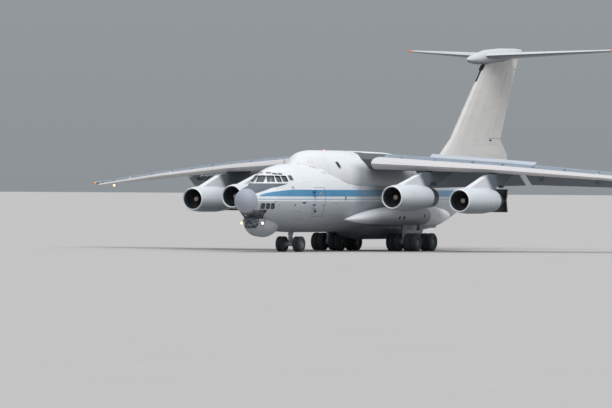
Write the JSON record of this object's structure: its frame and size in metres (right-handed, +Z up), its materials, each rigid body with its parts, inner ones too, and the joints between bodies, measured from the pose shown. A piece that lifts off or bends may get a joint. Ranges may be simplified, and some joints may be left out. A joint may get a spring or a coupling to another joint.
{
  "type": "half-scale military transport plane model",
  "caption": "High-wing military transport plane with pod engines under the wing, T-tail, wheels in side fairings, slats and flaps out and cargo doors under the tail, standing on its gear",
  "frame": {"origin": "on the ground under the middle of the overall box", "axes": "nose towards -X, +X aft, +Y to the right wing (pilot's right), +Z up"},
  "size_m": [23.295, 25.25, 7.5439],
  "materials": {
    "airframe_white": "satin white paint",
    "airframe_grey": "satin light grey paint",
    "slat_paint": "satin pale grey paint",
    "radome": "satin blue-grey",
    "glazing": "clear",
    "nacelle_paint": "satin light grey paint",
    "hot_metal": "heat-darkened",
    "bare_steel": "machined",
    "tyre": "matt black",
    "interior": "matt green-grey paint"
  },
  "bodies": {
    "airframe": {"nose_section": "airframe_white", "cockpit_glass": "glazing", "navigator_glass": "glazing", "flight_deck": "interior", "nose_radome": "radome", "chin_radome": "radome", "wing": "airframe_grey", "centre_fuselage": "airframe_white", "wing_fairing": "airframe_white", "nacelle_left_outer": "nacelle_paint", "pylon_left_outer": "airframe_white", "nacelle_left_inner": "nacelle_paint", "pylon_left_inner": "airframe_white", "nacelle_right_inner": "nacelle_paint", "pylon_right_inner": "airframe_white", "nacelle_right_outer": "nacelle_paint", "pylon_right_outer": "airframe_white", "fin": "airframe_white", "tailplane": "airframe_grey", "tail_section": "airframe_white", "belly_fairing": "airframe_grey", "gear_fairing_left": "airframe_white", "main_legs_left": "bare_steel", "gear_fairing_right": "airframe_white", "main_legs_right": "bare_steel", "nose_leg": "bare_steel"},
    "crew_door_left": {"crew_door_left": "airframe_white"},
    "crew_door_right": {"crew_door_right": "airframe_white"},
    "slat_left": {"slat_left": "slat_paint"},
    "aileron_left": {"aileron_left": "airframe_grey"},
    "spoiler_left": {"spoiler_left": "airframe_grey"},
    "flap_inner_left": {"flap_inner_left": "airframe_grey"},
    "flap_outer_left": {"flap_outer_left": "airframe_grey"},
    "slat_right": {"slat_right": "slat_paint"},
    "aileron_right": {"aileron_right": "airframe_grey"},
    "spoiler_right": {"spoiler_right": "airframe_grey"},
    "flap_inner_right": {"flap_inner_right": "airframe_grey"},
    "flap_outer_right": {"flap_outer_right": "airframe_grey"},
    "fan_left_outer": {"fan_left_outer": "bare_steel"},
    "reverser_upper_left_outer": {"reverser_upper_left_outer": "hot_metal"},
    "reverser_lower_left_outer": {"reverser_lower_left_outer": "hot_metal"},
    "fan_left_inner": {"fan_left_inner": "bare_steel"},
    "fan_right_inner": {"fan_right_inner": "bare_steel"},
    "fan_right_outer": {"fan_right_outer": "bare_steel"},
    "reverser_upper_right_outer": {"reverser_upper_right_outer": "hot_metal"},
    "reverser_lower_right_outer": {"reverser_lower_right_outer": "hot_metal"},
    "rudder": {"rudder": "airframe_white"},
    "elevator_left": {"elevator_left": "airframe_grey"},
    "elevator_right": {"elevator_right": "airframe_grey"},
    "cargo_ramp": {"cargo_ramp": "airframe_grey"},
    "cargo_door_left": {"cargo_door_left": "airframe_grey"},
    "cargo_door_right": {"cargo_door_right": "airframe_grey"},
    "cargo_door_centre": {"cargo_door_centre": "airframe_grey"},
    "main_wheels_left_front": {"main_wheels_left_front": "tyre"},
    "main_wheels_left_rear": {"main_wheels_left_rear": "tyre"},
    "main_wheels_right_front": {"main_wheels_right_front": "tyre"},
    "main_wheels_right_rear": {"main_wheels_right_rear": "tyre"},
    "nose_steering": {"nose_steering": "bare_steel"},
    "nose_wheels": {"nose_wheels": "tyre"}
  },
  "joints": [
    {"name": "crew_door_left_hinge", "type": "hinge", "parent": "airframe", "child": "crew_door_left", "pos_m": [-8.1525, -1.175, 2.275], "axis": [0, 0, -1], "range_deg": [0, 90]},
    {"name": "crew_door_right_hinge", "type": "hinge", "parent": "airframe", "child": "crew_door_right", "pos_m": [-8.1525, 1.175, 1.25], "axis": [0, 0, 1], "range_deg": [0, 90]},
    {"name": "slat_left_slide", "type": "slide", "parent": "airframe", "child": "slat_left", "axis": [-0.9063, 0, -0.4226], "range_m": [-0.25, 0]},
    {"name": "aileron_left_hinge", "type": "hinge", "parent": "airframe", "child": "aileron_left", "pos_m": [2.0442, -12.31, 2.40325], "axis": [-0.2816, 0.9551, 0.0917], "range_deg": [-28, 16]},
    {"name": "spoiler_left_hinge", "type": "hinge", "parent": "airframe", "child": "spoiler_left", "pos_m": [0.04578, -5.8, 3.03784], "axis": [-0.2104, 0.9762, 0.0523], "range_deg": [0, 40]},
    {"name": "flap_inner_left_track", "type": "hinge", "parent": "airframe", "child": "flap_inner_left", "pos_m": [0.06285, -5.25, 2.32983], "axis": [-0.1726, 0.985, 0.0058], "range_deg": [-38, 0]},
    {"name": "flap_outer_left_track", "type": "hinge", "parent": "airframe", "child": "flap_outer_left", "pos_m": [1.11728, -8.925, 2.2741], "axis": [-0.2738, 0.9612, 0.0341], "range_deg": [-38, 0]},
    {"name": "slat_right_slide", "type": "slide", "parent": "airframe", "child": "slat_right", "axis": [-0.9063, 0, -0.4226], "range_m": [-0.25, 0]},
    {"name": "aileron_right_hinge", "type": "hinge", "parent": "airframe", "child": "aileron_right", "pos_m": [1.08301, 9.05, 2.7162], "axis": [0.2816, 0.9551, -0.0917], "range_deg": [-28, 16]},
    {"name": "spoiler_right_hinge", "type": "hinge", "parent": "airframe", "child": "spoiler_right", "pos_m": [-0.78397, 1.95, 3.24418], "axis": [0.2104, 0.9762, -0.0523], "range_deg": [0, 40]},
    {"name": "flap_inner_right_track", "type": "hinge", "parent": "airframe", "child": "flap_inner_right", "pos_m": [-0.65365, 1.16, 2.3539], "axis": [0.1726, 0.985, -0.0058], "range_deg": [-38, 0]},
    {"name": "flap_outer_right_track", "type": "hinge", "parent": "airframe", "child": "flap_outer_right", "pos_m": [0.05059, 5.18, 2.40709], "axis": [0.2738, 0.9612, -0.0341], "range_deg": [-38, 0]},
    {"name": "fan_left_outer_spin", "type": "hinge", "parent": "airframe", "child": "fan_left_outer", "pos_m": [-5.1225, -5.31, 1.835], "axis": [1, 0, 0], "continuous": true},
    {"name": "reverser_upper_left_outer_hinge", "type": "hinge", "parent": "airframe", "child": "reverser_upper_left_outer", "pos_m": [-1.9125, -5.81, 1.835], "axis": [0, 1, 0], "range_deg": [-90, 0]},
    {"name": "reverser_lower_left_outer_hinge", "type": "hinge", "parent": "airframe", "child": "reverser_lower_left_outer", "pos_m": [-1.9125, -4.81, 1.835], "axis": [0, -1, 0], "range_deg": [-90, 0]},
    {"name": "fan_left_inner_spin", "type": "hinge", "parent": "airframe", "child": "fan_left_inner", "pos_m": [-6.1875, -3.175, 1.94], "axis": [1, 0, 0], "continuous": true},
    {"name": "fan_right_inner_spin", "type": "hinge", "parent": "airframe", "child": "fan_right_inner", "pos_m": [-6.1875, 3.175, 1.94], "axis": [1, 0, 0], "continuous": true},
    {"name": "fan_right_outer_spin", "type": "hinge", "parent": "airframe", "child": "fan_right_outer", "pos_m": [-5.1225, 5.31, 1.835], "axis": [1, 0, 0], "continuous": true},
    {"name": "reverser_upper_right_outer_hinge", "type": "hinge", "parent": "airframe", "child": "reverser_upper_right_outer", "pos_m": [-1.9125, 4.81, 1.835], "axis": [0, 1, 0], "range_deg": [-90, 0]},
    {"name": "reverser_lower_right_outer_hinge", "type": "hinge", "parent": "airframe", "child": "reverser_lower_right_outer", "pos_m": [-1.9125, 5.81, 1.835], "axis": [0, -1, 0], "range_deg": [-90, 0]},
    {"name": "rudder_hinge", "type": "hinge", "parent": "airframe", "child": "rudder", "pos_m": [8.54825, 0, 4.16], "axis": [0.5426, 0, 0.84], "range_deg": [-27, 27]},
    {"name": "elevator_left_hinge", "type": "hinge", "parent": "airframe", "child": "elevator_left", "pos_m": [11.30879, -4.15, 7.44851], "axis": [-0.3555, 0.9331, -0.0536], "range_deg": [-21, 15]},
    {"name": "elevator_right_hinge", "type": "hinge", "parent": "airframe", "child": "elevator_right", "pos_m": [9.86467, 0.36, 7.23069], "axis": [0.3555, 0.9331, 0.0536], "range_deg": [-21, 15]},
    {"name": "cargo_ramp_hinge", "type": "hinge", "parent": "airframe", "child": "cargo_ramp", "pos_m": [3.2125, -0.5, 0.86], "axis": [0, 1, 0], "range_deg": [0, 32]},
    {"name": "cargo_door_left_hinge", "type": "hinge", "parent": "airframe", "child": "cargo_door_left", "pos_m": [7.3275, -0.53667, 2.25099], "axis": [-0.9656, -0.1287, -0.2261], "range_deg": [0, 60]},
    {"name": "cargo_door_right_hinge", "type": "hinge", "parent": "airframe", "child": "cargo_door_right", "pos_m": [5.5275, 0.77667, 1.82946], "axis": [0.9656, -0.1287, 0.2261], "range_deg": [0, 60]},
    {"name": "cargo_door_centre_hinge", "type": "hinge", "parent": "airframe", "child": "cargo_door_centre", "pos_m": [7.5325, -0.5, 2.31718], "axis": [0, 1, 0], "range_deg": [0, 22]},
    {"name": "main_wheels_left_front_spin", "type": "hinge", "parent": "airframe", "child": "main_wheels_left_front", "pos_m": [-1.6975, -1.51, 0.325], "axis": [0, 1, 0], "continuous": true},
    {"name": "main_wheels_left_rear_spin", "type": "hinge", "parent": "airframe", "child": "main_wheels_left_rear", "pos_m": [-0.3975, -1.51, 0.325], "axis": [0, 1, 0], "continuous": true},
    {"name": "main_wheels_right_front_spin", "type": "hinge", "parent": "airframe", "child": "main_wheels_right_front", "pos_m": [-1.6975, 1.51, 0.325], "axis": [0, 1, 0], "continuous": true},
    {"name": "main_wheels_right_rear_spin", "type": "hinge", "parent": "airframe", "child": "main_wheels_right_rear", "pos_m": [-0.3975, 1.51, 0.325], "axis": [0, 1, 0], "continuous": true},
    {"name": "nose_steering_swivel", "type": "hinge", "parent": "airframe", "child": "nose_steering", "pos_m": [-7.7975, 0, 0.5], "axis": [0, 0, 1], "range_deg": [-50, 50]},
    {"name": "nose_wheels_spin", "type": "hinge", "parent": "nose_steering", "child": "nose_wheels", "pos_m": [-7.7975, 0, 0.275], "axis": [0, 1, 0], "continuous": true}
  ]
}
